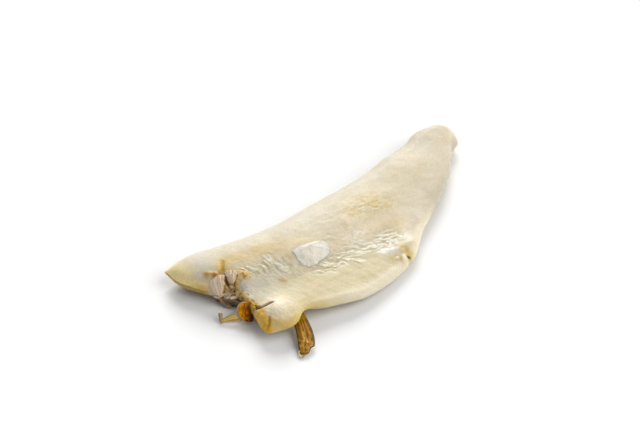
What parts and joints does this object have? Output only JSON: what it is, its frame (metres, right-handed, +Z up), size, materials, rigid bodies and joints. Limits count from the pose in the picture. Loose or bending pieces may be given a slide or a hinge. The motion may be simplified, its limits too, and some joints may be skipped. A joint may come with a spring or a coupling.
{
  "type": "lutefisk fillet",
  "caption": "Boned side of lye-soaked dried cod lying flesh side up, with a thick loin, a thin belly flap, a torn neck and a hanging pelvic fin.",
  "frame": {"origin": "middle of the footprint's box, on the surface that the fillet lies on", "axes": "+X from head to tail, +Y from belly to back, +Z up"},
  "size_m": [0.3601, 0.177, 0.0341],
  "materials": {
    "flesh": "wet translucent fish flesh, cream with golden beige patches",
    "flake": "moist pale fish flesh",
    "fin": "wet golden brown fin skin with dark rays",
    "collar": "wet amber brown cartilage",
    "strip": "moist tan skin",
    "ray": "grey-brown broken fin ray"
  },
  "bodies": {
    "root": {"fillet": "flesh", "loose_flake": "flake", "pelvic_fin": "fin", "collar_bone": "collar", "fin_strip": "strip", "bone_stub": "ray"}
  },
  "joints": []
}
